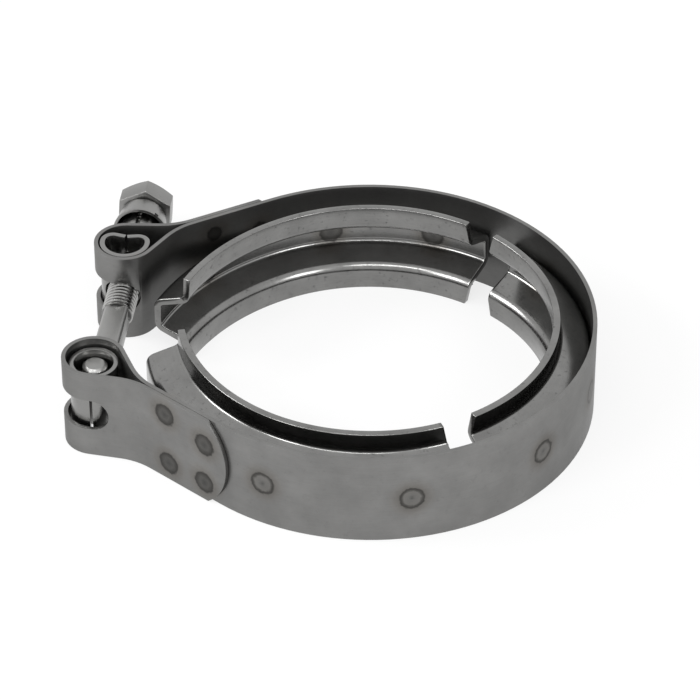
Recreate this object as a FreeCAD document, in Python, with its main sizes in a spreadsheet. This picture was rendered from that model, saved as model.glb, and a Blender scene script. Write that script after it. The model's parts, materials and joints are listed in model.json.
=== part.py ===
import FreeCAD, Part
import math
import os
import Sketcher

# V band clamp, in millimetres.
# The clamp axis is Z and the clamp rests on the plane Z = 0.
# The two loops and the T-bolt are on the -X side, and the bolt points to +Y.
# Every sheet piece is drawn edge on, as a strip of constant thickness made of
# straight runs and bends, and is then given its width or turned about an axis.

SIZES = {
    # strap: the band and its folded loops
    "strap_radius": 54.5,
    "strap_sheet": 1.0,
    "strap_width": 24.0,
    "tangent_angle": 123.85,
    "fold_gap": 0.1,
    "split_bend": 17.0,
    "leaf_angle": 28.5,
    "loop_bore": 6.65,
    "loop_reach": 39.9,
    "tongue_tip": 3.0,
    "tongue_round": 15.3,
    "slot_height": 8.6,
    "slot_reach": 4.6,
    "nugget_diameter": 5.0,
    "nugget_first": 4.2,
    "nugget_pitch": 11.9,
    "nugget_rise": 6.6,
    # retainers: the pressed V segments inside the strap
    "retainer_sheet": 1.75,
    "retainer_depth": 9.55,
    "retainer_angle": 107.2,
    "retainer_bend": 1.2,
    "retainer_seat": 0.05,
    "lip_proud": 0.25,
    "leg_angle": 20.0,
    "web_flat": 4.4,
    "end_setback": 1.2,
    "end_height": 5.2,
    "lip_corner": 0.8,
    "right_angle": 1.15,
    "back_start_angle": 62.65,
    "front_start_angle": 60.25,
    "back_spring": 7.8,
    "front_spring": 3.0,
    # front sleeve, round the cross bar of the bolt
    "front_sleeve_radius": 5.8,
    "front_sleeve_wall": 1.0,
    "front_sleeve_length": 20.0,
    "front_seam": 0.6,
    # back sleeve, round the threaded end of the bolt
    "back_sleeve_radius": 6.15,
    "back_sleeve_wall": 1.2,
    "back_lobe_radius": 3.0,
    "back_lobe_angle": 10.0,
    "back_end_angle": 12.0,
    "back_seam": 0.5,
    "back_seat": 0.2,
    # T-bolt
    "bar_diameter": 6.0,
    "bar_length": 17.0,
    "bar_dome": 0.7,
    "bar_seat": 0.3,
    "shank_width": 6.2,
    "shank_height": 6.5,
    "shank_edge": 0.7,
    "shoulder_length": 3.0,
    "shank_length": 35.0,
    "thread_diameter": 7.9,
    "thread_chamfer": 0.9,
    "thread_past_nut": 1.2,
    "pivot_clearance": 0.4,
    "pass_clearance": 0.6,
    # spacer tube, cup washer and nut, in order along the bolt
    "tube_seat": 0.8,
    "tube_radius": 4.95,
    "tube_wall": 0.75,
    "tube_length": 18.0,
    "tube_slit": 0.9,
    "cup_radius": 5.9,
    "cup_depth": 6.7,
    "cup_wall": 0.7,
    "cup_bend": 0.5,
    "cup_flare_angle": 9.0,
    "cup_notch": 1.1,
    "cup_notch_angle": 40.0,
    "washer_gap": 0.2,
    "nut_flats": 13.0,
    "nut_length": 5.6,
    "nut_crown": 6.1,
    "nut_face": 7.1,
    "nut_bevel_angle": 30.0,
    "nut_turn": 3.5,
    "thread_clearance": 0.05,
}

doc = FreeCAD.newDocument("v_band_clamp")
sheet = doc.addObject("Spreadsheet::Sheet", "Sizes")
for row, (alias, value) in enumerate(SIZES.items(), start=1):
    sheet.set(f"A{row}", alias)
    sheet.set(f"B{row}", str(value))
    sheet.setAlias(f"B{row}", alias)
doc.recompute()


def size(formula):
    """The value of a formula whose words are aliases of the sheet."""
    return float(sheet.evalExpression(named(formula)))


def named(formula):
    """The formula with each alias written as a cell of the sheet."""
    words = []
    for word in formula.split():
        words.append(f"Sizes.{word}" if word in SIZES else word)
    return " ".join(words)


def bind(item, **formulas):
    """Bind properties of an object to formulas of the sheet."""
    for name, formula in formulas.items():
        item.setExpression(name, named(formula))


def place(item, x="0", y="0", z="0"):
    """Bind an object's position to formulas of the sheet."""
    item.setExpression("Placement.Base.x", named(x))
    item.setExpression("Placement.Base.y", named(y))
    item.setExpression("Placement.Base.z", named(z))


def new_body(name):
    body = doc.addObject("PartDesign::Body", name)
    body.Label = name
    return body


def new_sketch(body, name, role):
    """A sketch on one of the body's own origin planes."""
    sketch = body.newObject("Sketcher::SketchObject", name)
    plane = next(item for item in body.Origin.OriginFeatures if item.Role == role)
    sketch.AttachmentSupport = (plane, [""])
    sketch.MapMode = "FlatFace"
    return sketch


def point(x, y):
    return FreeCAD.Vector(x, y, 0)


def turned(vector, degrees):
    angle = math.radians(degrees)
    x = vector.x * math.cos(angle) - vector.y * math.sin(angle)
    y = vector.x * math.sin(angle) + vector.y * math.cos(angle)
    return point(x, y)


def run(length):
    return ("run", length, 0.0)


def bend(radius, turn):
    """A bend about a middle radius, given as a formula; a left turn is positive."""
    return ("bend", radius, turn)


def draw_strip(sketch, start, heading, steps, thickness):
    """Draw the closed outline of a strip that follows its middle line step by step."""
    half = size(thickness) / 2
    sides = {1: [], -1: []}
    place_now = start
    way = turned(point(1, 0), heading)
    for kind, amount, turn in steps:
        normal = turned(way, 90)
        if kind == "run":
            place_next = place_now + way * amount
            for side, edges in sides.items():
                shift = normal * (half * side)
                edges.append(("line", place_now + shift, place_next + shift, None, None))
            place_now = place_next
            continue
        hand = 1 if turn > 0 else -1
        radius = size(amount)
        centre = place_now + normal * (radius * hand)
        place_next = centre + turned(place_now - centre, turn)
        for side, edges in sides.items():
            formula = f"{amount} - {hand * side} * {thickness} / 2"
            scale = (radius - hand * side * half) / radius
            first = centre + (place_now - centre) * scale
            last = centre + (place_next - centre) * scale
            edges.append(("arc", first, last, (centre, hand), formula))
        place_now = place_next
        way = turned(way, turn)
    left = sides[1]
    right = [(kind, last, first, arc and (arc[0], -arc[1]), formula)
             for kind, first, last, arc, formula in reversed(sides[-1])]
    cap_end = ("line", left[-1][2], right[0][1], None, None)
    cap_start = ("line", right[-1][2], left[0][1], None, None)
    draw_outline(sketch, left + [cap_end] + right + [cap_start])


def draw_outline(sketch, edges):
    """Draw lines and arcs end to end, join them, and bind each arc's radius."""
    ends = []
    for kind, first, last, arc, formula in edges:
        if kind == "line":
            index = sketch.addGeometry(Part.LineSegment(first, last), False)
            ends.append((index, 1, 2))
            continue
        centre, hand = arc
        low, high = (first, last) if hand > 0 else (last, first)
        angle_low = math.atan2(low.y - centre.y, low.x - centre.x)
        angle_high = math.atan2(high.y - centre.y, high.x - centre.x)
        while angle_high <= angle_low:
            angle_high += 2 * math.pi
        circle = Part.Circle(centre, FreeCAD.Vector(0, 0, 1), (low - centre).Length)
        index = sketch.addGeometry(Part.ArcOfCircle(circle, angle_low, angle_high), False)
        ends.append((index, 1, 2) if hand > 0 else (index, 2, 1))
        number = sketch.addConstraint(Sketcher.Constraint("Radius", index, circle.Radius))
        sketch.setExpression(f"Constraints[{number}]", named(formula))
    for (index, first, last), (after, start, end) in zip(ends, ends[1:] + ends[:1]):
        sketch.addConstraint(Sketcher.Constraint("Coincident", index, last, after, start))


def draw_polygon(sketch, corners):
    """Draw a closed polygon whose corners are pairs of formulas, each one bound."""
    points = [point(size(x), size(y)) for x, y in corners]
    first = sketch.GeometryCount
    for start, end in zip(points, points[1:] + points[:1]):
        sketch.addGeometry(Part.LineSegment(start, end), False)
    for offset, (x, y) in enumerate(corners):
        index = first + offset
        after = first + (offset + 1) % len(corners)
        sketch.addConstraint(Sketcher.Constraint("Coincident", index, 2, after, 1))
        for kind, formula, value in (("DistanceX", x, points[offset].x), ("DistanceY", y, points[offset].y)):
            number = sketch.addConstraint(Sketcher.Constraint(kind, -1, 1, index, 1, value))
            sketch.setExpression(f"Constraints[{number}]", named(formula))


def draw_circle(sketch, radius, height="0"):
    """Draw a circle whose centre is on the sketch's upright axis, at a height."""
    circle = Part.Circle(point(0, size(height)), FreeCAD.Vector(0, 0, 1), size(radius))
    index = sketch.addGeometry(circle, False)
    number = sketch.addConstraint(Sketcher.Constraint("Radius", index, size(radius)))
    sketch.setExpression(f"Constraints[{number}]", named(radius))
    if height == "0":
        sketch.addConstraint(Sketcher.Constraint("Coincident", index, 3, -1, 1))
        return
    sketch.addConstraint(Sketcher.Constraint("PointOnObject", index, 3, -2))
    number = sketch.addConstraint(Sketcher.Constraint("DistanceY", -1, 1, index, 3, size(height)))
    sketch.setExpression(f"Constraints[{number}]", named(height))


def pad(body, sketch, length, away=False):
    """Give a sketch a length, on the other side of its plane if away is set."""
    feature = body.newObject("PartDesign::Pad", f"{sketch.Name}_pad")
    feature.Profile = sketch
    feature.Reversed = away
    bind(feature, Length=length)
    sketch.Visibility = False
    return feature


def turn_about(body, sketch, axis, angle=None, backward=False):
    """Turn a sketch about one of its axes: a full turn, or through an angle one way."""
    feature = body.newObject("PartDesign::Revolution", f"{sketch.Name}_turn")
    feature.Profile = sketch
    feature.ReferenceAxis = (sketch, [axis])
    feature.Reversed = backward
    feature.Angle = 360
    if angle:
        bind(feature, Angle=angle)
    sketch.Visibility = False
    return feature


def cut_through(body, sketch, length, both=False):
    """Cut a sketch's shape out of the body over a length, or over its half to each side."""
    feature = body.newObject("PartDesign::Pocket", f"{sketch.Name}_cut")
    feature.Profile = sketch
    feature.Midplane = both
    bind(feature, Length=length)
    sketch.Visibility = False
    return feature


def round_edges(body, base, name, radius, wanted):
    """Round those straight edges of a feature for which wanted is true."""
    doc.recompute()
    edges = [f"Edge{number}" for number, edge in enumerate(base.Shape.Edges, start=1)
             if isinstance(edge.Curve, Part.Line) and wanted(edge)]
    feature = body.newObject("PartDesign::Fillet", name)
    feature.Base = (base, edges)
    bind(feature, Radius=radius)
    return feature


# Places that several pieces share, as formulas of the sheet

TANGENT_COS = "cos( tangent_angle * 1 deg )"
TANGENT_SIN = "sin( tangent_angle * 1 deg )"
MID_HEIGHT = "( strap_width / 2 + lip_proud )"
RETAINER_HEIGHT = f"( {MID_HEIGHT} * 2 )"
LIP_BORE = "( strap_radius - strap_sheet - retainer_seat - retainer_depth )"
FOLD_RADIUS = "( strap_radius + fold_gap / 2 )"
LOOP_X = f"( {FOLD_RADIUS} * {TANGENT_COS} - loop_reach * {TANGENT_SIN} )"
LOOP_Y = f"( {FOLD_RADIUS} * {TANGENT_SIN} + loop_reach * {TANGENT_COS} )"
LOOP_OUTER = "( loop_bore + strap_sheet )"
FRONT_SLEEVE_LIFT = f"( {MID_HEIGHT} - front_sleeve_length / 2 )"
BAR_OFFSET = "( front_sleeve_radius - front_sleeve_wall - bar_diameter / 2 - bar_seat )"
BAR_Y = f"( {BAR_OFFSET} - {LOOP_Y} )"
BACK_SLEEVE_Y = f"( {LOOP_Y} - loop_bore + back_seat + back_sleeve_radius )"
TUBE_Y = f"( {LOOP_Y} + {LOOP_OUTER} + tube_seat )"
FLOOR_Y = f"( {TUBE_Y} + tube_length + washer_gap )"
NUT_Y = f"( {FLOOR_Y} + cup_wall + washer_gap )"
BOLT_LENGTH = f"( {NUT_Y} + nut_length + thread_past_nut - {BAR_Y} )"


# Strap: folded strip with a loop at each end

def strap_steps():
    """The strip's middle line from one tongue round both loops to the other tongue.

    Each leaf lies along the fold's middle plane, bends away from it by the leaf angle,
    and runs straight until it meets the loop, whose centre is on that plane.
    """
    slope = size("leaf_angle")
    across = math.sin(math.radians(slope))
    along = math.cos(math.radians(slope))
    split = size("split_bend")
    loop = size("loop_bore + strap_sheet / 2")
    apart = size("( strap_sheet + fold_gap ) / 2")
    leaf = (loop * along - split * (1 - along) - apart) / across
    contact = size("loop_reach") - (split + loop) * across - leaf * along
    tongue = "( strap_radius + fold_gap + strap_sheet / 2 )"
    tongue_turn = math.degrees(size("tongue_tip") / size(tongue))
    one_loop = [
        run(contact),
        bend("split_bend", -slope),
        run(leaf),
        bend("( loop_bore + strap_sheet / 2 )", 180 + 2 * slope),
        run(leaf),
        bend("split_bend", -slope),
        run(contact),
    ]
    band = bend("( strap_radius - strap_sheet / 2 )", -2 * size("tangent_angle"))
    return [bend(tongue, tongue_turn)] + one_loop + [band] + one_loop + [bend(tongue, tongue_turn)]


def make_strap():
    strip = new_body("strap_strip")
    outline = new_sketch(strip, "strip_outline", "XY_Plane")
    steps = strap_steps()
    tip_angle = size("tangent_angle") - steps[0][2]
    start = turned(point(size("strap_radius + fold_gap + strap_sheet / 2"), 0), tip_angle)
    draw_strip(outline, start, tip_angle + 90, steps, "strap_sheet")
    pad(strip, outline, "strap_width")
    slot = new_sketch(strip, "bolt_slot", "XZ_Plane")
    draw_slot(slot)
    cut_through(strip, slot, f"( {LOOP_Y} + {LOOP_OUTER} + slot_reach ) * 2", both=True)
    place(strip, z="lip_proud")
    tools = [tongue_trim(hand) for hand in (1, -1)]
    trimmed = strip
    for tool in tools:
        cut = doc.addObject("Part::Cut", "strap_trimmed")
        cut.Base = trimmed
        cut.Tool = tool
        trimmed = cut
    strap = doc.addObject("Part::MultiFuse", "strap")
    strap.Shapes = [trimmed] + [nugget for hand in (1, -1) for nugget in weld_nuggets(hand)]
    strap.Refine = False
    return strap


def draw_slot(sketch):
    """The slot's outline seen along the bolt: open at the loops, round at its inner end."""
    radius = size("slot_height / 2")
    middle = size("strap_width / 2")
    inner = size(f"{LOOP_X} + slot_reach") - radius
    outer = size(f"{LOOP_X} - {LOOP_OUTER}") - radius
    low = point(inner, middle - radius)
    high = point(inner, middle + radius)
    draw_outline(sketch, [
        ("arc", low, high, (point(inner, middle), 1), "slot_height / 2"),
        ("line", high, point(outer, middle + radius), None, None),
        ("line", point(outer, middle + radius), point(outer, middle - radius), None, None),
        ("line", point(outer, middle - radius), low, None, None),
    ])


def fold_frame(hand, along, height, out):
    """A placement on the folded leaf: X along it to the loop, Z outward."""
    outward = turned(point(1, 0), size("tangent_angle") * hand)
    leafward = turned(outward, 90 * hand)
    spot = outward * (size("strap_radius") + out) + leafward * along
    spot.z = height
    turn = FreeCAD.Rotation(leafward, FreeCAD.Vector(0, 0, hand), outward, "ZXY")
    return FreeCAD.Placement(spot, turn)


def tongue_trim(hand):
    """What the tongue's rounded end leaves out: a block less a disc, outside the band.

    The block stands proud of the tongue by one sheet's thickness on every side.
    """
    half = size("strap_width / 2")
    radius = size("tongue_round")
    tip = size("tongue_tip")
    proud = size("strap_sheet")
    thickness = size("strap_sheet + fold_gap") + 2 * proud
    shoulder = radius - math.sqrt(max(radius ** 2 - half ** 2, 0)) - tip
    block = Part.makeBox(shoulder + tip + proud, 2 * (half + proud), thickness)
    block.translate(FreeCAD.Vector(-tip - proud, -half - proud, -proud))
    disc = Part.makeCylinder(radius, thickness)
    disc.translate(FreeCAD.Vector(radius - tip, 0, -proud))
    tool = block.cut(disc)
    tool.Placement = fold_frame(hand, 0, size(MID_HEIGHT), 0)
    drum = Part.makeCylinder(size("strap_radius + fold_gap / 2"), size(RETAINER_HEIGHT))
    feature = doc.addObject("Part::Feature", "tongue_trim")
    feature.Shape = tool.cut(drum)
    return feature


def weld_nuggets(hand):
    """The four spot welds that hold the tongue to the band."""
    nuggets = []
    for column in (0, 1):
        for row in (-1, 1):
            along = size("nugget_first") + column * size("nugget_pitch")
            height = size(MID_HEIGHT) + row * size("nugget_rise")
            nugget = doc.addObject("Part::Cylinder", "weld_nugget")
            bind(nugget, Radius="nugget_diameter / 2", Height="strap_sheet + fold_gap")
            nugget.Placement = fold_frame(hand, along, height, -size("strap_sheet / 2"))
            nuggets.append(nugget)
    return nuggets


# Retainers: pressed V segments inside the strap

def retainer_steps():
    """The V section's middle line from its lower lip to its upper lip."""
    turn = 90 - size("leg_angle")
    radians = math.radians(turn)
    radius = "( retainer_bend + retainer_sheet / 2 )"
    curve = size(radius)
    inward = size("retainer_depth - retainer_sheet")
    leg = (inward - 2 * curve * (1 - math.cos(radians))) / math.sin(radians)
    rise = 2 * curve * math.sin(radians) + leg * math.cos(radians) + size("web_flat / 2")
    lip = size(MID_HEIGHT) - rise
    return [
        run(lip), bend(radius, -turn), run(leg), bend(radius, turn),
        run(size("web_flat")),
        bend(radius, turn), run(leg), bend(radius, -turn), run(lip),
    ]


def at_lip_end(edge):
    """Whether an edge crosses the sheet at the free edge of a lip, at an end of the segment."""
    heights = {round(vertex.Point.z, 3) for vertex in edge.Vertexes}
    at_end = abs(edge.Vertexes[0].Point.y) > size("retainer_sheet")
    return at_end and (heights == {0} or heights == {round(size(RETAINER_HEIGHT), 3)})


def trim_end(body, name, side, span, spring):
    """Slant the end's cut along both lips, so that each lip is shortest at its free edge."""
    trim = new_sketch(body, name, "YZ_Plane")
    trim.AttachmentOffset = FreeCAD.Placement(point(0, 0), FreeCAD.Rotation(FreeCAD.Vector(0, 1, 0), 1))
    trim.setExpression("AttachmentOffset.Base.z", named(f"0 - {spring}"))
    trim.setExpression("AttachmentOffset.Rotation.Angle", named(f"{side} * {span} * 1 deg"))
    back = f"end_setback * {-side}"
    beyond = f"retainer_sheet * {side}"
    for edge, way in (("0", "1"), (RETAINER_HEIGHT, "-1")):
        draw_polygon(trim, [
            (back, edge),
            (back, f"{edge} - retainer_sheet * {way}"),
            (beyond, f"{edge} - retainer_sheet * {way}"),
            (beyond, f"{edge} + end_height * {way}"),
            ("0", f"{edge} + end_height * {way}"),
        ])
    return cut_through(body, trim, f"( strap_radius + {spring} ) * 2", both=True)


def make_retainer(name, angle, behind, ahead, spring="0", hand=1):
    """A V segment on both sides of an angle, with a larger radius on the side ahead.

    A positive hand has the side ahead at larger angles. The spring is what its radius gains.
    """
    body = new_body(name)
    for side, span, excess in ((-hand, behind, "0"), (hand, ahead, spring)):
        section = new_sketch(body, f"{name}_section", "XZ_Plane")
        section.setExpression("AttachmentOffset.Base.x", named(f"0 - {excess}"))
        start = point(size(f"{LIP_BORE} + retainer_sheet / 2 + {excess}"), 0)
        draw_strip(section, start, 90, retainer_steps(), "retainer_sheet")
        turn_about(body, section, "V_Axis", span, backward=side < 0)
        trimmed = trim_end(body, f"{name}_end", side, span, excess)
    round_edges(body, trimmed, f"{name}_corners", "lip_corner", at_lip_end)
    body.Placement.Rotation = FreeCAD.Rotation(FreeCAD.Vector(0, 0, 1), 1)
    body.setExpression("Placement.Rotation.Angle", named(f"{angle} * 1 deg"))
    return body


def make_loop_retainer(name, start, spring, hand):
    """A retainer that reaches past the tangent of a loop, where it springs open with the strap."""
    behind = f"( tangent_angle - {start} )"
    ahead = f"( retainer_angle - {behind} ) * strap_radius / ( strap_radius + {spring} )"
    return make_retainer(name, f"tangent_angle * {hand}", behind, ahead, spring, hand)


# Sleeves: rolled tubes in the two loops

def make_front_sleeve():
    """A plain rolled tube, open at a seam on the -Y side, with a window for the shank."""
    body = new_body("front_sleeve")
    outline = new_sketch(body, "front_sleeve_outline", "XY_Plane")
    radius = "( front_sleeve_radius - front_sleeve_wall / 2 )"
    half_seam = math.degrees(size("front_seam / 2") / size(radius))
    start = turned(point(size(radius), 0), half_seam - 90)
    draw_strip(outline, start, half_seam, [bend(radius, 360 - 2 * half_seam)], "front_sleeve_wall")
    pad(body, outline, "front_sleeve_length")
    window = new_sketch(body, "shank_window", "XZ_Plane")
    half_width = "( shank_width / 2 + pivot_clearance )"
    half_height = "( shank_height / 2 + pivot_clearance )"
    middle = "front_sleeve_length / 2"
    draw_polygon(window, [
        (f"0 - {half_width}", f"{middle} - {half_height}"),
        (half_width, f"{middle} - {half_height}"),
        (half_width, f"{middle} + {half_height}"),
        (f"0 - {half_width}", f"{middle} + {half_height}"),
    ])
    cut_through(body, window, "front_sleeve_radius + front_sleeve_wall")
    place(body, LOOP_X, f"0 - {LOOP_Y}", FRONT_SLEEVE_LIFT)
    return body


def make_back_sleeve():
    """A heart-shaped roll: both ends come round and dip inward at a seam on the +Y side."""
    body = new_body("back_sleeve")
    outline = new_sketch(body, "back_sleeve_outline", "XY_Plane")
    wall = size("back_sleeve_wall")
    round_radius = "( back_sleeve_radius - back_sleeve_wall / 2 )"
    lobe_radius = "( back_lobe_radius - back_sleeve_wall / 2 )"
    tilt = size("back_lobe_angle")
    dip = size("back_end_angle")
    lobe = turned(point(size(round_radius) - size(lobe_radius), 0), tilt)
    lobe_end = lobe + turned(point(size(lobe_radius), 0), 90 + dip)
    end_run = (lobe_end.x - size("back_seam / 2")) / math.cos(math.radians(dip))
    start = point(-size("back_seam / 2"), lobe_end.y - end_run * math.sin(math.radians(dip)))
    steps = [
        run(end_run),
        bend(lobe_radius, 90 + dip - tilt),
        bend(round_radius, 180 + 2 * tilt),
        bend(lobe_radius, 90 + dip - tilt),
        run(end_run),
    ]
    draw_strip(outline, start, 180 - dip, steps, "back_sleeve_wall")
    pad(body, outline, "strap_width")
    hole = new_sketch(body, "bolt_hole", "XZ_Plane")
    draw_circle(hole, "thread_diameter / 2 + pass_clearance", "strap_width / 2")
    cut_through(body, hole, "( back_sleeve_radius + back_sleeve_wall ) * 2", both=True)
    place(body, LOOP_X, BACK_SLEEVE_Y, "lip_proud")
    return body


# T-bolt: upright cross bar, flat-sided shank, round shoulder and thread

def is_lengthwise(edge):
    """Whether a straight edge runs along the bolt."""
    return abs(edge.Curve.Direction.y) == 1


def make_t_bolt():
    body = new_body("t_bolt")
    shank = new_sketch(body, "shank_section", "XZ_Plane")
    draw_polygon(shank, [
        ("0 - shank_width / 2", "0 - shank_height / 2"),
        ("shank_width / 2", "0 - shank_height / 2"),
        ("shank_width / 2", "shank_height / 2"),
        ("0 - shank_width / 2", "shank_height / 2"),
    ])
    blank = pad(body, shank, "shank_length", away=True)
    round_edges(body, blank, "shank_rounds", "shank_edge", is_lengthwise)
    thread = new_sketch(body, "thread_profile", "XY_Plane")
    shoulder = "( shank_length - shoulder_length )"
    draw_polygon(thread, [
        ("0", shoulder),
        ("shank_width / 2", shoulder),
        ("thread_diameter / 2", "shank_length"),
        ("thread_diameter / 2", f"{BOLT_LENGTH} - thread_chamfer"),
        ("thread_diameter / 2 - thread_chamfer", BOLT_LENGTH),
        ("0", BOLT_LENGTH),
    ])
    turn_about(body, thread, "V_Axis")
    bar = new_sketch(body, "bar_profile", "XZ_Plane")
    draw_polygon(bar, [
        ("0", "0 - bar_length / 2"),
        ("bar_diameter / 2 - bar_dome", "0 - bar_length / 2"),
        ("bar_diameter / 2", "bar_dome - bar_length / 2"),
        ("bar_diameter / 2", "bar_length / 2 - bar_dome"),
        ("bar_diameter / 2 - bar_dome", "bar_length / 2"),
        ("0", "bar_length / 2"),
    ])
    turn_about(body, bar, "V_Axis")
    place(body, LOOP_X, BAR_Y, MID_HEIGHT)
    return body


# Spacer tube, cup washer and nut, in order along the bolt

def make_spacer_tube():
    """A rolled tube round the bolt with its slit upward."""
    body = new_body("spacer_tube")
    section = new_sketch(body, "spacer_tube_section", "XZ_Plane")
    radius = "( tube_radius - tube_wall / 2 )"
    half_slit = math.degrees(size("tube_slit / 2") / size(radius))
    start = turned(point(size(radius), 0), 90 + half_slit)
    draw_strip(section, start, 180 + half_slit, [bend(radius, 360 - 2 * half_slit)], "tube_wall")
    pad(body, section, "tube_length", away=True)
    place(body, LOOP_X, TUBE_Y, MID_HEIGHT)
    return body


def make_cup_washer():
    """A cup with a flaring wall, open toward the loop, and a floor against the nut."""
    body = new_body("cup_washer")
    section = new_sketch(body, "cup_section", "XY_Plane")
    flare = size("cup_flare_angle")
    curve = size("cup_bend + cup_wall / 2")
    turn = 90 - flare
    bore = size("thread_diameter / 2 + pivot_clearance")
    floor = size("cup_radius - cup_wall / 2") - curve * math.sin(math.radians(turn)) - bore
    drop = curve * (1 - math.cos(math.radians(turn)))
    wall = (size("cup_depth - cup_wall / 2") - drop) / math.sin(math.radians(turn))
    steps = [run(floor), bend("( cup_bend + cup_wall / 2 )", -turn), run(wall)]
    draw_strip(section, point(bore, 0), 0, steps, "cup_wall")
    turn_about(body, section, "V_Axis")
    notch = new_sketch(body, "rim_notch", "XZ_Plane")
    rim = "( cup_depth - cup_wall / 2 )"
    notch.setExpression("AttachmentOffset.Base.z", named(rim))
    notch.setExpression("AttachmentOffset.Rotation.Angle", named("0 deg - cup_notch_angle * 1 deg"))
    draw_polygon(notch, [
        ("0 - cup_notch / 2", "cup_radius - cup_wall"),
        ("cup_notch / 2", "cup_radius - cup_wall"),
        ("cup_notch / 2", "cup_radius + cup_depth"),
        ("0 - cup_notch / 2", "cup_radius + cup_depth"),
    ])
    cut_through(body, notch, "cup_notch")
    place(body, LOOP_X, f"{FLOOR_Y} + cup_wall / 2", MID_HEIGHT)
    return body


def make_hex_nut():
    """A hexagon nut, bevelled deeply at its outer end and lightly at its seat, a corner nearly upward."""
    body = new_body("hex_nut")
    section = new_sketch(body, "nut_section", "XZ_Plane")
    corner = "nut_flats / sqrt( 3 )"
    half_corner = "nut_flats / sqrt( 12 )"
    draw_polygon(section, [
        ("0", corner),
        ("0 - nut_flats / 2", half_corner),
        ("0 - nut_flats / 2", f"0 - {half_corner}"),
        ("0", f"0 - {corner}"),
        ("nut_flats / 2", f"0 - {half_corner}"),
        ("nut_flats / 2", half_corner),
    ])
    pad(body, section, "nut_length", away=True)
    beyond = "nut_flats"
    for name, face, end, way in (("crown", "nut_crown", "nut_length", "0 - 1"), ("seat", "nut_face", "0", "1")):
        bevel = new_sketch(body, f"{name}_bevel", "XY_Plane")
        drop = f"( {beyond} - {face} ) * tan( nut_bevel_angle * 1 deg ) * ( {way} )"
        draw_polygon(bevel, [(face, end), (beyond, end), (beyond, f"{end} + {drop}")])
        groove = body.newObject("PartDesign::Groove", f"{name}_bevel_cut")
        groove.Profile = bevel
        groove.ReferenceAxis = (bevel, ["V_Axis"])
        groove.Angle = 360
    bore = new_sketch(body, "nut_bore", "XZ_Plane")
    draw_circle(bore, "thread_diameter / 2 + thread_clearance")
    cut_through(body, bore, "nut_length * 2", both=True)
    place(body, LOOP_X, NUT_Y, MID_HEIGHT)
    body.Placement.Rotation = FreeCAD.Rotation(FreeCAD.Vector(0, 1, 0), 1)
    body.setExpression("Placement.Rotation.Angle", named("nut_turn * 1 deg"))
    return body


NODES = [
    make_strap(),
    make_retainer("retainer_right", "right_angle", "retainer_angle / 2", "retainer_angle / 2"),
    make_loop_retainer("retainer_back", "back_start_angle", "back_spring", 1),
    make_loop_retainer("retainer_front", "front_start_angle", "front_spring", -1),
    make_front_sleeve(),
    make_back_sleeve(),
    make_t_bolt(),
    make_spacer_tube(),
    make_cup_washer(),
    make_hex_nut(),
]

doc.recompute()

for item in doc.Objects:
    if {"Invalid", "Error"} & set(item.State):
        raise RuntimeError(f"{item.Label} failed: {item.State}")
for node in NODES:
    if node.Shape.isNull() or not node.Shape.isValid() or len(node.Shape.Solids) != 1:
        raise RuntimeError(f"{node.Label} is not one valid solid")

os.makedirs("parts", exist_ok=True)
for node in NODES:
    node.Shape.exportStep(f"parts/{node.Label}.step")
    box = node.Shape.optimalBoundingBox()
    print(f"{node.Label}: {node.Shape.Volume:.1f} mm3, X {box.XMin:.2f} {box.XMax:.2f}, "
          f"Y {box.YMin:.2f} {box.YMax:.2f}, Z {box.ZMin:.2f} {box.ZMax:.2f}")
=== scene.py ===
# %% [markdown]
# A V band clamp for an exhaust joint: a thin stainless strap, three pressed V retainers
# welded inside it, and a T-bolt that draws the strap's two loops together.
# The parts come in as a fixed frame, in metres, and this script gives each one its finish.

# %% Load the frame
import json
import math

import bmesh
import bpy
from mathutils import Matrix, Vector


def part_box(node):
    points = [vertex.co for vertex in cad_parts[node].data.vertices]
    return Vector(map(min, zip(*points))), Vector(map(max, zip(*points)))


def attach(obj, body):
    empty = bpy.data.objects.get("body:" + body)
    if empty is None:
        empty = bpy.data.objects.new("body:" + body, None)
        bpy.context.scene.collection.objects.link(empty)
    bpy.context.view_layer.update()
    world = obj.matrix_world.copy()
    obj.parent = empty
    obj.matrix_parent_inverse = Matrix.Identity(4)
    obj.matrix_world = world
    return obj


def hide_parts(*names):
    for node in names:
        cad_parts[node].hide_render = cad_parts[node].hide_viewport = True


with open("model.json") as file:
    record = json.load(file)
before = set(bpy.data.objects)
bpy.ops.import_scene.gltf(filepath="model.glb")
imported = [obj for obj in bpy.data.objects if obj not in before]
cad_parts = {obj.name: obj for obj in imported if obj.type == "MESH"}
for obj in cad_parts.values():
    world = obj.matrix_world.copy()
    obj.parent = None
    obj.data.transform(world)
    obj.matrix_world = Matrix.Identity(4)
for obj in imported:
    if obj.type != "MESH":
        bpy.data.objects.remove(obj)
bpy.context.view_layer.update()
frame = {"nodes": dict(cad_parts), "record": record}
MM = 0.001

# %% [markdown]
# The camera comes first, because the shape is judged through it. The strap's outer edge is
# a true circle, so its picture fixes the view: a long lens, well back, looking down at 38.5
# degrees. The camera could be placed by hand, but a fitted one lets every edge be compared.

# %% Camera
STRAP_RADIUS = 54.5 * MM
VIEW_ELEVATION = math.radians(38.49)
VIEW_AZIMUTH = math.radians(6.45)
VIEW_DISTANCE = 17.742 * STRAP_RADIUS
FOCAL_PIXELS = 3963.5
PICTURE_PIXELS = 700
AIM_RIGHT = -0.0907 * STRAP_RADIUS
AIM_UP = 0.1988 * STRAP_RADIUS
SENSOR_WIDTH = 36
CLIP_START, CLIP_END = 0.01, 50

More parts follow.
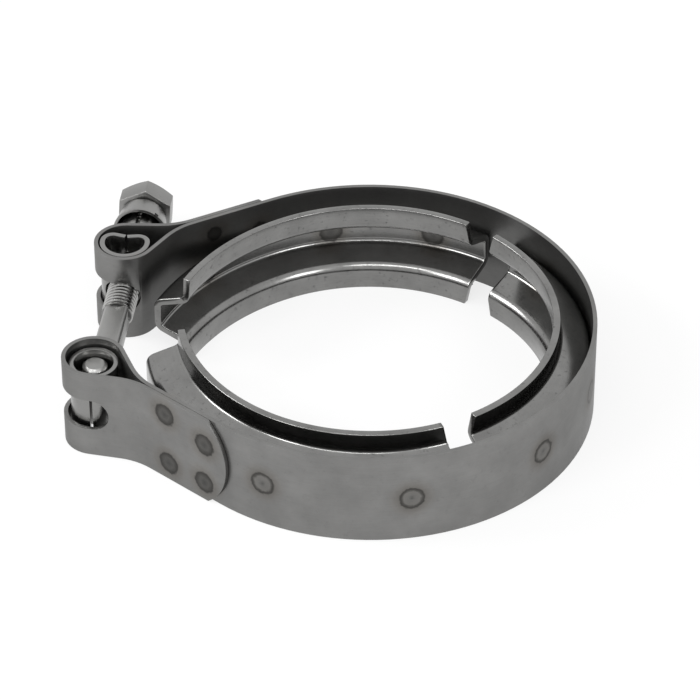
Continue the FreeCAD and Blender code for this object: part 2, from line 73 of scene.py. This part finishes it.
scene = bpy.context.scene
back = Vector((
    math.sin(VIEW_AZIMUTH) * math.cos(VIEW_ELEVATION),
    -math.cos(VIEW_AZIMUTH) * math.cos(VIEW_ELEVATION),
    math.sin(VIEW_ELEVATION),
))
right = Vector((math.cos(VIEW_AZIMUTH), math.sin(VIEW_AZIMUTH), 0))
up = back.cross(right)
band_foot = Vector((0, 0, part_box("strap")[0].z))
eye = band_foot + back * VIEW_DISTANCE
aim = band_foot + right * AIM_RIGHT + up * AIM_UP

camera_data = bpy.data.cameras.new("camera")
camera_data.sensor_width = SENSOR_WIDTH
camera_data.lens = SENSOR_WIDTH * FOCAL_PIXELS / PICTURE_PIXELS
camera_data.clip_start = CLIP_START
camera_data.clip_end = CLIP_END
camera = bpy.data.objects.new("camera", camera_data)
camera.location = eye
camera.rotation_mode = "QUATERNION"
camera.rotation_quaternion = (aim - eye).to_track_quat("-Z", "Y")
scene.collection.objects.link(camera)
scene.camera = camera
scene.view_settings.view_transform = "Standard"
print("lens", round(camera_data.lens, 1), "eye", tuple(round(v, 3) for v in eye))

# %% [markdown]
# The studio is a pale floor under an even white sky. Steel shows what surrounds it, so the
# white sky gives the even gray of the strap. Both are white to the camera and in mirrors,
# and a little dimmer as lamps, so the floor keeps a soft shadow.

# %% Sky and floor
SKY_LEVEL = 0.75
FLOOR_GLOW = 0.8
FLOOR_PAINT = 0.9
FLOOR_RADIUS = 4


def add_seen_share(tree, share):
    """A value that is the share on rays the camera or a mirror sends, and 0 on the rest."""
    path = tree.nodes.new("ShaderNodeLightPath")
    seen = path.outputs["Is Camera Ray"]
    for kind in ("Is Glossy Ray", "Is Transmission Ray"):
        either = tree.nodes.new("ShaderNodeMath")
        either.operation = "MAXIMUM"
        tree.links.new(seen, either.inputs[0])
        tree.links.new(path.outputs[kind], either.inputs[1])
        seen = either.outputs[0]
    part = tree.nodes.new("ShaderNodeMath")
    part.operation = "MULTIPLY"
    part.inputs[1].default_value = share
    tree.links.new(seen, part.inputs[0])
    return part.outputs[0]


def add_sky():
    """An even white world, a little dimmer as a lamp than to the eye."""
    world = bpy.data.worlds.new("sky")
    scene.world = world
    world.use_nodes = True
    tree = world.node_tree
    background = tree.nodes["Background"]
    background.inputs["Color"].default_value = (1, 1, 1, 1)
    strength = tree.nodes.new("ShaderNodeMath")
    strength.inputs[1].default_value = SKY_LEVEL
    tree.links.new(add_seen_share(tree, 1 - SKY_LEVEL), strength.inputs[0])
    tree.links.new(strength.outputs[0], background.inputs["Strength"])


def add_floor():
    """A round pale floor at the height of the clamp's foot, which only stages it."""
    form = bmesh.new()
    bmesh.ops.create_circle(form, cap_ends=True, segments=64, radius=FLOOR_RADIUS)
    mesh = bpy.data.meshes.new("floor")
    form.to_mesh(mesh)
    form.free()
    floor = bpy.data.objects.new("floor", mesh)
    scene.collection.objects.link(floor)
    material = bpy.data.materials.new("floor_white")
    material.use_nodes = True
    tree = material.node_tree
    tree.nodes.clear()
    paint = tree.nodes.new("ShaderNodeBsdfDiffuse")
    paint.inputs["Color"].default_value = (FLOOR_PAINT, FLOOR_PAINT, FLOOR_PAINT, 1)
    glow = tree.nodes.new("ShaderNodeEmission")
    glow.inputs["Strength"].default_value = 1
    blend = tree.nodes.new("ShaderNodeMixShader")
    tree.links.new(add_seen_share(tree, FLOOR_GLOW), blend.inputs["Fac"])
    tree.links.new(paint.outputs[0], blend.inputs[1])
    tree.links.new(glow.outputs[0], blend.inputs[2])
    output = tree.nodes.new("ShaderNodeOutputMaterial")
    tree.links.new(blend.outputs[0], output.inputs["Surface"])
    mesh.materials.append(material)


add_sky()
add_floor()
print("sky", SKY_LEVEL, "floor glow", FLOOR_GLOW)

# %% [markdown]
# Soft boxes give the bright lines along the bends. A narrow box is reflected as a thin
# line by a tight bend and as a faint band by a flat, so small strong boxes are used here,
# where one wide box would only make the whole clamp paler.

# %% Soft boxes
LAMP_DISTANCE = 1.4
# azimuth and elevation in degrees, width, height and power
LAMPS = {
    "front_strip": (-8, 55, 0.9, 0.12, 4),
    "right_front_box": (50, 35, 0.38, 0.4, 3.9),
    "left_front_box": (-46, 38, 0.38, 0.4, 4.5),
    "left_box": (-88, 33, 0.5, 0.4, 7),
}


def add_box_lamp(name, azimuth, elevation, width, height, power):
    """A soft box that looks at the clamp. Azimuth 0 is in front, 90 on the right."""
    turn, rise = math.radians(azimuth), math.radians(elevation)
    way = Vector((
        math.sin(turn) * math.cos(rise), -math.cos(turn) * math.cos(rise), math.sin(rise),
    ))
    data = bpy.data.lights.new(name, "AREA")
    data.shape = "RECTANGLE"
    data.size = width
    data.size_y = height
    data.energy = power
    lamp = bpy.data.objects.new(name, data)
    lamp.location = way * LAMP_DISTANCE
    lamp.rotation_mode = "QUATERNION"
    lamp.rotation_quaternion = way.to_track_quat("Z", "Y")
    scene.collection.objects.link(lamp)
    print(name, "power", power)


for lamp_name, values in LAMPS.items():
    add_box_lamp(lamp_name, *values)

# %% [markdown]
# The solids come in with knife-sharp edges, and real pressed and turned edges are slightly
# broken, which is what catches the light. Each piece is a copy of its solid: its loose
# triangles are merged, flat areas become single faces, and the sharp edges get a small bevel.
# A bevel modifier would do the same, but here the edges can be chosen by their angle.

# %% Pieces with broken edges
BODY_OF = {
    member: body
    for body, members in frame["record"]["behaviour"]["bodies"].items()
    for member in members
}
SAME_PLACE = 0.001 * MM
ON_PLANE = 0.0001 * MM
FLAT_WITHIN = math.radians(0.6)
BEVEL_SEGMENTS = 2


def copy_of_node(name):
    """A node's triangles as one joined surface."""
    form = bmesh.new()
    form.from_mesh(frame["nodes"][name].data)
    bmesh.ops.remove_doubles(form, verts=form.verts, dist=SAME_PLACE)
    bmesh.ops.dissolve_degenerate(form, edges=form.edges, dist=SAME_PLACE)
    return form


def cut_at(form, point, normal, **cleared):
    """Cut a form with a plane, and clear the sides of it that are named."""
    bmesh.ops.bisect_plane(
        form, geom=form.verts[:] + form.edges[:] + form.faces[:], dist=ON_PLANE,
        plane_co=point, plane_no=normal, **cleared,
    )


def bevel_sharp(form, width, sharper_than):
    """Bevel the edges that are sharper than an angle in degrees."""
    limit = math.radians(sharper_than)
    sharp = [edge for edge in form.edges if edge.is_manifold and edge.calc_face_angle() > limit]
    bmesh.ops.bevel(
        form, geom=sharp, offset=width, offset_type="OFFSET", segments=BEVEL_SEGMENTS,
        affect="EDGES", profile=0.5, material=-1, clamp_overlap=True, loop_slide=True,
    )


def break_edges(form, width, sharper_than=35):
    """Merge the flat areas and bevel the sharp edges."""
    bmesh.ops.dissolve_limit(
        form, angle_limit=FLAT_WITHIN, verts=form.verts, edges=form.edges, delimit={"NORMAL"},
    )
    bevel_sharp(form, width, sharper_than)


def add_piece(name, form, node, smooth_under=35):
    """Make a bmesh a piece that stands for a node and moves with its body."""
    bmesh.ops.triangulate(form, faces=[face for face in form.faces if len(face.verts) > 4])
    bmesh.ops.recalc_face_normals(form, faces=form.faces)
    mesh = bpy.data.meshes.new(name)
    form.to_mesh(mesh)
    form.free()
    mesh.polygons.foreach_set("use_smooth", [True] * len(mesh.polygons))
    mesh.set_sharp_from_angle(angle=math.radians(smooth_under))
    piece = bpy.data.objects.new(name, mesh)
    scene.collection.objects.link(piece)
    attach(piece, BODY_OF[node])
    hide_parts(node)
    print(name, len(mesh.vertices), "points", len(mesh.polygons), "faces")
    return piece


STRAP_EDGE = 0.14 * MM
RETAINER_EDGE = 0.2 * MM
BOLT_EDGE = 0.18 * MM
EDGE_WIDTH = {
    "front_sleeve": 0.16 * MM,
    "back_sleeve": 0.18 * MM,
    "spacer_tube": 0.12 * MM,
    "cup_washer": 0.14 * MM,
    "hex_nut": 0.2 * MM,
}
pieces = {}
for node_name, width in EDGE_WIDTH.items():
    form = copy_of_node(node_name)
    break_edges(form, width)
    pieces[node_name] = add_piece(f"{node_name}_finished", form, node_name)

# %% [markdown]
# The strap is one strip of sheet. Its free edges were cut and tumbled, so they get the same
# small bevel. The sheet itself is already true in the solid, with its folds, loops and
# slots, so nothing else about it is remade here.

# %% Strap
form = copy_of_node("strap")
break_edges(form, STRAP_EDGE, sharper_than=50)
pieces["strap"] = add_piece("strap_finished", form, "strap")

# %% [markdown]
# A retainer is a V section pressed round an arc, and its bends carry the sharpest highlights
# of the whole clamp, so its facets must run straight along it. Its section is cut out of the
# solid with a plane through the axis, and spun again in fine even steps. Past the loop's
# tangent the real piece springs open, so there the spin goes on round a centre further out.
# The ends are then slanted back towards the lips' free edges, as the press cut them.

# %% Retainers
RETAINER_ANGLE = 107.2
RETAINER_SHEET = 1.75 * MM
WEB_RADIUS = 53.45 * MM
TANGENT_ANGLE = 123.85
SECTION_MERGE = 0.03 * MM
NEARLY_STRAIGHT = math.radians(1.5)
SPIN_STEP = 0.7
END_SETBACK = 1.2 * MM
END_HEIGHT = 5.2 * MM
END_REACH = math.radians(12)
# start angle, how far the sprung part's centre lies beyond the clamp's axis, and hand
RETAINERS = {
    "retainer_right": (1.15 - RETAINER_ANGLE / 2, 0, 1),
    "retainer_back": (62.65, 7.8 * MM, 1),
    "retainer_front": (60.25, 3 * MM, -1),
}
retainer_low, retainer_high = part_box("retainer_right")


def radial(angle):
    """The way out from the clamp's axis at an angle in degrees."""
    turn = math.radians(angle)
    return Vector((math.cos(turn), math.sin(turn), 0))


def section_of(name, angle):
    """The closed outline of a retainer's section, in the plane through the axis at an angle."""
    form = copy_of_node(name)
    cut_at(form, (0, 0, 0), radial(angle + 90), clear_inner=True, clear_outer=True)
    bmesh.ops.remove_doubles(form, verts=form.verts, dist=SECTION_MERGE)
    straight = [vert for vert in form.verts if len(vert.link_edges) == 2
                and vert.calc_edge_angle(0) < NEARLY_STRAIGHT]
    bmesh.ops.dissolve_verts(form, verts=straight)
    print(name, "section of", len(form.verts), "points,", len(form.edges), "lines")
    return form


def spin_section(form, start, parts):
    """Turn the outline to its start and spin it through (angle, centre) parts in turn."""
    around = Matrix.Rotation(math.radians(start), 3, "Z")
    outline = form.verts[:] + form.edges[:]
    bmesh.ops.rotate(form, cent=(0, 0, 0), matrix=around, verts=form.verts)
    first = outline
    for angle, centre in parts:
        steps = max(8, round(abs(angle) / SPIN_STEP))
        made = bmesh.ops.spin(
            form, geom=outline, cent=centre, axis=(0, 0, 1),
            angle=math.radians(angle), steps=steps, use_merge=False,
        )
        outline = made["geom_last"]
    for ring in (first, outline):
        lines = [item for item in ring if isinstance(item, bmesh.types.BMEdge)]
        bmesh.ops.contextual_create(form, geom=lines)
    bmesh.ops.remove_doubles(form, verts=form.verts, dist=SAME_PLACE)


def slant_end(form, end, away):
    """Draw the end that lies at an angle back, most at the free edges of both lips."""
    for vert in form.verts:
        height = min(vert.co.z - retainer_low.z, retainer_high.z - vert.co.z)
        share = max(0, 1 - height / END_HEIGHT)
        turn = math.atan2(vert.co.y, vert.co.x) - math.radians(end)
        turn = math.atan2(math.sin(turn), math.cos(turn))
        reach = max(0, 1 - abs(turn) / END_REACH)
        shift = -away * share * reach * END_SETBACK / WEB_RADIUS
        vert.co = Matrix.Rotation(shift, 3, "Z") @ vert.co


def add_retainer(name, start, spring, hand):
    """A retainer from its start towards the loop side; hand -1 runs clockwise."""
    to_tangent = min(TANGENT_ANGLE - start, RETAINER_ANGLE) if spring else RETAINER_ANGLE
    beyond = (RETAINER_ANGLE - to_tangent) * STRAP_RADIUS / (STRAP_RADIUS + spring)
    spring_centre = radial(TANGENT_ANGLE * hand) * -spring
    form = section_of(name, (start + to_tangent / 2) * hand)
    parts = [(to_tangent * hand, (0, 0, 0))]
    if spring:
        parts.append((beyond * hand, spring_centre))
    spin_section(form, -to_tangent / 2 * hand, parts)
    tip = (start + to_tangent) * hand
    if spring:
        outward = radial((TANGENT_ANGLE + beyond) * hand)
        far = spring_centre + outward * (STRAP_RADIUS + spring)
        tip = math.degrees(math.atan2(far.y, far.x))
    slant_end(form, start * hand, -hand)
    slant_end(form, tip, hand)
    bmesh.ops.recalc_face_normals(form, faces=form.faces)
    bevel_sharp(form, RETAINER_EDGE, sharper_than=50)
    pieces[name] = add_piece(f"{name}_finished", form, name)


for node_name, values in RETAINERS.items():
    add_retainer(node_name, *values)

# %% [markdown]
# The bolt's thread is only a plain cylinder in the solid. A real M8 thread is a groove with
# sides at 60 degrees that climbs 1.25 mm a turn. It is made by spinning the outline of one
# groove round the bolt while it moves along, so that each turn ends where the next begins.
# A screw modifier could do this too, but a spin keeps the ends easy to cut flat and close.

# %% Thread
THREAD_PITCH = 1.25 * MM
THREAD_TOP = 3.93 * MM
THREAD_ROOT = 3.2 * MM
CREST_FLAT = 0.16
ROOT_FLAT = 0.22
STEPS_A_TURN = 40
TURN_MERGE = 0.002 * MM
AT_THE_CUT = 0.01 * MM
TIP_TAPER = 0.75 * MM
BAR_TO_THREAD = 33.2 * MM

bolt_low, bolt_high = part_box("t_bolt")
nut_low, nut_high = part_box("hex_nut")
bolt_x = (nut_low.x + nut_high.x) / 2
bolt_z = (bolt_low.z + bolt_high.z) / 2
thread_start = bolt_low.y + BAR_TO_THREAD
thread_end = bolt_high.y


def pull_in(vert, most, x=0, z=0):
    """Bring a point no farther than a radius from the line along Y through x and z."""
    radius = math.hypot(vert.co.x - x, vert.co.z - z)
    if radius > most:
        vert.co.x = x + (vert.co.x - x) * most / radius
        vert.co.z = z + (vert.co.z - z) * most / radius


def add_thread(start, end):
    """A threaded rod along Y, cut flat and closed at both ends, its tip tapered."""
    form = bmesh.new()
    first = start - 1.5 * THREAD_PITCH
    turns = math.ceil((end - first) / THREAD_PITCH) + 1
    side = (1 - CREST_FLAT - ROOT_FLAT) / 2
    outline = (
        (0, THREAD_ROOT), (ROOT_FLAT, THREAD_ROOT), (ROOT_FLAT + side, THREAD_TOP),
        (ROOT_FLAT + side + CREST_FLAT, THREAD_TOP), (1, THREAD_ROOT),
    )
    points = [
        form.verts.new((0, first + share * THREAD_PITCH, radius)) for share, radius in outline
    ]
    lines = [form.edges.new(pair) for pair in zip(points, points[1:])]
    bmesh.ops.spin(
        form, geom=points + lines, cent=(0, 0, 0), axis=(0, 1, 0),
        angle=math.radians(360 * turns), steps=STEPS_A_TURN * turns,
        dvec=(0, THREAD_PITCH / STEPS_A_TURN, 0), use_merge=False,
    )
    bmesh.ops.remove_doubles(form, verts=form.verts, dist=TURN_MERGE)
    for cut, way in ((start, -1), (end, 1)):
        cut_at(form, (0, cut, 0), (0, way, 0), clear_outer=True)
        rim = [edge for edge in form.edges if edge.is_boundary
               and all(abs(vert.co.y - cut) < AT_THE_CUT for vert in edge.verts)]
        bmesh.ops.holes_fill(form, edges=rim, sides=0)
    for vert in form.verts:
        pull_in(vert, THREAD_TOP - max(0, TIP_TAPER - abs(vert.co.y - end)))
    bmesh.ops.translate(form, verts=form.verts, vec=(bolt_x, 0, bolt_z))
    return form


thread_form = add_thread(thread_start, thread_end)
print("thread from", round(thread_start / MM, 2), "to", round(thread_end / MM, 2))

# %% [markdown]
# The forged end of the bolt is kept from the solid: the upright bar and the flat-sided shank.
# It is cut off where the thread begins and closed, and its corners are drawn in under the
# thread's crests. It is joined to the thread as one piece, because bar, shank and thread are
# one forging.

# %% T-bolt
INTO_THREAD = 0.3 * MM
UNDER_THREAD = 0.15 * MM
NECK_LENGTH = 1.6 * MM

form = copy_of_node("t_bolt")
cut_at(form, (0, thread_start + INTO_THREAD, 0), (0, 1, 0), clear_outer=True)
bmesh.ops.holes_fill(form, edges=[edge for edge in form.edges if edge.is_boundary], sides=0)
break_edges(form, BOLT_EDGE, sharper_than=40)
for vert in form.verts:
    if vert.co.y > thread_start - NECK_LENGTH:
        pull_in(vert, THREAD_TOP - UNDER_THREAD, bolt_x, bolt_z)
bmesh.ops.recalc_face_normals(form, faces=form.faces)
thread_mesh = bpy.data.meshes.new("thread")
bmesh.ops.recalc_face_normals(thread_form, faces=thread_form.faces)
thread_form.to_mesh(thread_mesh)
thread_form.free()
form.from_mesh(thread_mesh)
pieces["t_bolt"] = add_piece("t_bolt_finished", form, "t_bolt", smooth_under=30)

# %% [markdown]
# All of it is stainless steel, but each piece shows its own making: the strap is rolled and
# satin, the retainers are pressed and glossier, the sleeves are cold rolled, and the bolt and
# nut are cold forged and matt. One maker of finishes is shared: soft blotches in the tone,
# fine lines from rolling, and a grain in the roughness and in a shallow bump.
# A picture of steel could be wrapped round instead, but a pattern on the object's own
# coordinates keeps its scale on every piece and needs no unwrapping.

# %% Finish helpers
def add_node(tree, kind, **settings):
    """A node whose settings are sockets where it has one of that name, else properties."""
    node = tree.nodes.new(kind)
    for name, value in settings.items():
        if name in node.inputs:
            node.inputs[name].default_value = value
        else:
            setattr(node, name, value)
    return node


def link(tree, source, node, socket):
    tree.links.new(source, node.inputs[socket])


def calculate(tree, operation, first, second=None):
    """A Math node on a linked value and a number or another linked value."""
    node = add_node(tree, "ShaderNodeMath", operation=operation)
    for index, value in enumerate((first, second)):
        if isinstance(value, (int, float)):
            node.inputs[index].default_value = value
        elif value is not None:
            tree.links.new(value, node.inputs[index])
    return node.outputs[0]


def add_ramp(tree, source, stops):
    """A gray ramp through (position, value) stops."""
    ramp = add_node(tree, "ShaderNodeValToRGB")
    link(tree, source, ramp, "Fac")
    bar = ramp.color_ramp
    while len(bar.elements) < len(stops):
        bar.elements.new(0.5)
    for element, (position, value) in zip(bar.elements, stops):
        element.position = position
        element.color = (value, value, value, 1)
    return ramp.outputs["Color"]


def add_noise(tree, vector, scale, detail=3, roughness=0.55):
    """A soft random pattern from 0 to 1."""
    noise = add_node(tree, "ShaderNodeTexNoise", Scale=scale, Detail=detail, Roughness=roughness)
    link(tree, vector, noise, "Vector")
    return noise.outputs["Fac"]


def around_axis(tree, place):
    """Object coordinates unrolled round the clamp axis: length along the band, and height."""
    parts = add_node(tree, "ShaderNodeSeparateXYZ")
    link(tree, place, parts, "Vector")
    angle = calculate(tree, "ARCTAN2", parts.outputs["Y"], parts.outputs["X"])
    unrolled = add_node(tree, "ShaderNodeCombineXYZ")
    link(tree, calculate(tree, "MULTIPLY", angle, STRAP_RADIUS), unrolled, "X")
    link(tree, parts.outputs["Z"], unrolled, "Y")
    return unrolled.outputs["Vector"]


# %% [markdown]
# Spot welds leave round marks: a dark ring where the electrode's edge pressed, a lighter
# mottled middle, and a brown tint where the steel ran hot. They sit at measured places, so
# each place gives a distance, the least distance is kept, and one ramp turns it into a mark.

# %% Weld marks
BAND_WELD_ANGLES = (-147, -110.8, -73.2, -35.2, -8, 42, 78.8, 107.6, 147)
WELD_HEIGHT = (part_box("strap")[0].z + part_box("strap")[1].z) / 2
WELD_REACH = 8
RAGGED_NOISE = (900, 2)
RAGGEDNESS = 0.9
TONGUE_FACE = STRAP_RADIUS + 1.1 * MM
# (share of the reach, brightness) from a mark's middle outwards
BAND_MARK = (
    (0, 0.5), (0.1, 0.74), (0.24, 0.82), (0.31, 0.4), (0.36, 0.28), (0.41, 0.78), (0.6, 0.94),
    (0.9, 1),
)
TONGUE_MARK = ((0, 0.36), (0.18, 0.5), (0.28, 0.36), (0.34, 0.27), (0.4, 0.86), (0.62, 1))
HEAT_TINT = ((0, 0.1), (0.3, 0.3), (0.42, 0.35), (0.75, 0))
# (millimetres from the tangent point towards the loop, millimetres over mid height)
TONGUE_WELDS = ((3.6, 4.6), (3.9, -6.9), (16.1, 7.1), (15.2, -7.1))


def band_weld_places(radius):
    """The welds that hold the retainers, at mid height, on a face of a given radius."""
    mid_height = Vector((0, 0, WELD_HEIGHT))
    return [radial(angle) * radius + mid_height for angle in BAND_WELD_ANGLES]


def tongue_weld_places():
    """The four welds on each folded tongue, in line with the nuggets of the solid."""
    places = []
    for hand in (1, -1):
        outward = radial(TANGENT_ANGLE * hand)
        to_loop = radial((TANGENT_ANGLE + 90) * hand)
        for along, rise in TONGUE_WELDS:
            spot = outward * TONGUE_FACE + to_loop * along * MM
            places.append(spot + Vector((0, 0, WELD_HEIGHT + rise * MM)))
    return places


def least_distance(tree, place, spots):
    """Distance from the nearest spot, in millimetres."""
    least = None
    for spot in spots:
        measure = add_node(tree, "ShaderNodeVectorMath", operation="DISTANCE")
        link(tree, place, measure, 0)
        measure.inputs[1].default_value = spot
        distance = measure.outputs["Value"]
        least = distance if least is None else calculate(tree, "MINIMUM", least, distance)
    return calculate(tree, "DIVIDE", least, MM)


def add_weld_marks(tree, place, spots, mark_stops):
    """How much each mark darkens the steel, and how brown it tints it."""
    away = least_distance(tree, place, spots)
    wobble = calculate(tree, "MULTIPLY", add_noise(tree, place, *RAGGED_NOISE), RAGGEDNESS)
    wobble = calculate(tree, "SUBTRACT", wobble, RAGGEDNESS / 2)
    away = calculate(tree, "ADD", away, wobble)
    share = calculate(tree, "DIVIDE", away, WELD_REACH)
    return add_ramp(tree, share, mark_stops), add_ramp(tree, share, HEAT_TINT)


print("welds", len(BAND_WELD_ANGLES), "on the band,", len(tongue_weld_places()), "on the tongues")

# %% [markdown]
# The strap's inside faces the axis. It is darkened as painted shade, for the dark that it
# reflects from the retainers' backs. The side is told from the surface's own direction against
# the way out from the axis.

# %% Painted shade on the inner side
def painted_inner_shade(tree, coordinates, darker):
    """Painted shade: a factor that is 1 on the outside of the band and falls to darker on its
    inside.
    """
    flat = add_node(tree, "ShaderNodeVectorMath", operation="MULTIPLY")
    link(tree, coordinates.outputs["Object"], flat, 0)
    flat.inputs[1].default_value = (1, 1, 0)
    outward = add_node(tree, "ShaderNodeVectorMath", operation="NORMALIZE")
    link(tree, flat.outputs["Vector"], outward, 0)
    facing = add_node(tree, "ShaderNodeVectorMath", operation="DOT_PRODUCT")
    link(tree, outward.outputs["Vector"], facing, 0)
    link(tree, coordinates.outputs["Normal"], facing, 1)
    share = calculate(tree, "MULTIPLY_ADD", facing.outputs["Value"], 0.5)
    share.node.inputs[2].default_value = 0.5
    return add_ramp(tree, share, ((0.1, darker), (0.4, 1)))


# %% [markdown]
# The rolled thread gets a painted highlight on its crests and painted shade in its grooves, for
# the bright flanks and dark hollows that the even white sky doesn't give. The distance from the
# bolt's own axis tells the two apart.

# %% Painted shade in the thread grooves
def painted_groove_shade(tree, place, darker):
    """Painted shade: a factor that is 1 on the thread's crests and falls to darker in its
    grooves.
    """
    across = add_node(tree, "ShaderNodeVectorMath", operation="MULTIPLY_ADD")
    link(tree, place, across, 0)
    across.inputs[1].default_value = (1, 0, 1)
    across.inputs[2].default_value = (-bolt_x, 0, -bolt_z)
    radius = add_node(tree, "ShaderNodeVectorMath", operation="LENGTH")
    link(tree, across.outputs["Vector"], radius, 0)
    above_root = calculate(tree, "SUBTRACT", radius.outputs["Value"], THREAD_ROOT)
    share = calculate(tree, "DIVIDE", above_root, THREAD_TOP - THREAD_ROOT)
    return add_ramp(tree, share, ((0.25, darker), (0.9, 1)))


# %% [markdown]
# One function mixes the patterns into a finish. The tone is what the steel sends back of a
# white studio. Blotches, rolling lines, grain and small dark stains only vary it a little,
# and the same patterns drive the roughness and the bump, as on a real handled surface.

# %% Steel
# the pale yellow of steel and the brown of heat, as shares of red, green and blue
STEEL_TINT = (1, 0.995, 0.975)
HEAT_BROWN = (0.9, 0.8, 0.68)
# the scale, detail and roughness of each pattern
CLOUDS = (95, 4, 0.6)
ROLLING = (2600, 3, 0.6)
SPECKLE = (2400, 3, 0.7)
STAINS = (620, 6, 0.78)
ROLLING_STRETCH = 0.06
GLOSS_SPREAD = 0.12
SPECKLE_RELIEF = 0.6
WELD_RELIEF = 3
BUMP_DEPTH = 0.05 * MM
# the sockets of a Mix node that mixes colours
MIX_FACTOR, MIX_FIRST, MIX_SECOND, MIX_RESULT = 0, 6, 7, 2


def add_steel(name, tone, roughness, blotch=0.3, lines=0.14, grain=0.08, bump=0.06,
              stain=0.9, inner_painted_shade=1, groove_painted_shade=1, grazing=1, marks=()):
    """Stainless steel of a gray tone. The shares say how far each pattern varies it.

    A dull rolled face doesn't brighten when it is seen along its surface as polished steel
    does: a grazing value under 1 takes that brightening away.
    """
    material = bpy.data.materials.new(name)
    material.use_nodes = True
    tree = material.node_tree
    shader = tree.nodes["Principled BSDF"]
    shader.inputs["Metallic"].default_value = 1
    shader.inputs["Specular Tint"].default_value = (grazing, grazing, grazing, 1)
    coordinates = add_node(tree, "ShaderNodeTexCoord")
    place = coordinates.outputs["Object"]
    unrolled = around_axis(tree, place)

    clouds = add_noise(tree, place, *CLOUDS)
    stretch = add_node(tree, "ShaderNodeMapping", Scale=(ROLLING_STRETCH, 1, 1))
    link(tree, unrolled, stretch, "Vector")
    rolling = add_noise(tree, stretch.outputs["Vector"], *ROLLING)
    speckle = add_noise(tree, place, *SPECKLE)

    shade = 1 - (blotch + lines + grain) / 2
    for pattern, share in ((clouds, blotch), (rolling, lines), (speckle, grain)):
        shade = calculate(tree, "ADD", shade, calculate(tree, "MULTIPLY", pattern, share))
    stains = add_noise(tree, place, *STAINS)
    shade = calculate(tree, "MULTIPLY", shade, add_ramp(tree, stains, ((0.33, stain), (0.43, 1))))
    gloss = calculate(tree, "MULTIPLY", speckle, GLOSS_SPREAD)
    gloss = calculate(tree, "ADD", roughness - GLOSS_SPREAD / 2, gloss)
    height = calculate(tree, "MULTIPLY", speckle, SPECKLE_RELIEF)
    height = calculate(tree, "ADD", height, rolling)
    colour = add_node(tree, "ShaderNodeMix", data_type="RGBA")
    colour.inputs[MIX_FIRST].default_value = [tone * part for part in STEEL_TINT] + [1]
    colour.inputs[MIX_SECOND].default_value = [tone * part for part in HEAT_BROWN] + [1]
    colour.inputs[MIX_FACTOR].default_value = 0
    tint = None
    for spots, mark_stops in marks:
        mark, heat = add_weld_marks(tree, place, spots, mark_stops)
        shade = calculate(tree, "MULTIPLY", shade, mark)
        height = calculate(tree, "ADD", height, calculate(tree, "MULTIPLY", mark, WELD_RELIEF))
        tint = heat if tint is None else calculate(tree, "MAXIMUM", tint, heat)
        tree.links.new(tint, colour.inputs[MIX_FACTOR])
    # painted shade on the sides that face the clamp's axis
    if inner_painted_shade < 1:
        shade = calculate(tree, "MULTIPLY", shade, painted_inner_shade(tree, coordinates, inner_painted_shade))
    # painted shade in the thread's grooves, by the distance from the bolt's axis
    if groove_painted_shade < 1:
        shade = calculate(tree, "MULTIPLY", shade, painted_groove_shade(tree, place, groove_painted_shade))
    scaled = add_node(tree, "ShaderNodeVectorMath", operation="SCALE")
    tree.links.new(colour.outputs[MIX_RESULT], scaled.inputs[0])
    link(tree, shade, scaled, "Scale")
    tree.links.new(scaled.outputs[0], shader.inputs["Base Color"])
    tree.links.new(gloss, shader.inputs["Roughness"])
    relief = add_node(tree, "ShaderNodeBump", Strength=bump, Distance=BUMP_DEPTH)
    link(tree, height, relief, "Height")
    tree.links.new(relief.outputs["Normal"], shader.inputs["Normal"])
    print(name, "tone", tone, "roughness", roughness)
    return material


BAND_MARKS = (band_weld_places(STRAP_RADIUS), BAND_MARK)
WEB_MARKS = (band_weld_places(WEB_RADIUS - RETAINER_SHEET), TONGUE_MARK)
TONGUE_MARKS = (tongue_weld_places(), TONGUE_MARK)
FINISHES = {
    # the strap's inner side is darkened as painted shade
    "strap": add_steel("satin_strap", tone=0.215, roughness=0.36, blotch=0.55, inner_painted_shade=0.62,
                       grazing=0.66, marks=(TONGUE_MARKS, BAND_MARKS)),
    "retainer_right": add_steel("pressed_retainer", tone=0.215, roughness=0.2, blotch=0.7,
                                lines=0.2, bump=0.04, stain=0.55, marks=(WEB_MARKS,)),
    "front_sleeve": add_steel("rolled_sleeve", tone=0.25, roughness=0.24, lines=0.05),
    "t_bolt": add_steel("forged_bolt", tone=0.31, roughness=0.36, lines=0.0, grain=0.14,
                        bump=0.1),
    "hex_nut": add_steel("forged_nut", tone=0.25, roughness=0.3, lines=0.0, grain=0.1, bump=0.1),
}
SAME_AS = {
    "retainer_back": "retainer_right",
    "retainer_front": "retainer_right",
    "back_sleeve": "front_sleeve",
    "spacer_tube": "front_sleeve",
    "cup_washer": "hex_nut",
}
for node_name, piece in pieces.items():
    piece.data.materials.append(FINISHES[SAME_AS.get(node_name, node_name)])
# a raised tone with darkened grooves: painted highlight on the crests and painted shade in the
# grooves
rolled_thread = add_steel("rolled_thread", tone=0.46, roughness=0.16, lines=0.0, grain=0.1,
                          groove_painted_shade=0.15)
pieces["t_bolt"].data.materials.append(rolled_thread)
for face in pieces["t_bolt"].data.polygons:
    face.material_index = 1 if face.center.y > thread_start else 0

# %% [markdown]
# The faces of all the finished pieces are counted.

# %% Finish
print("faces in all", sum(len(piece.data.polygons) for piece in pieces.values()))
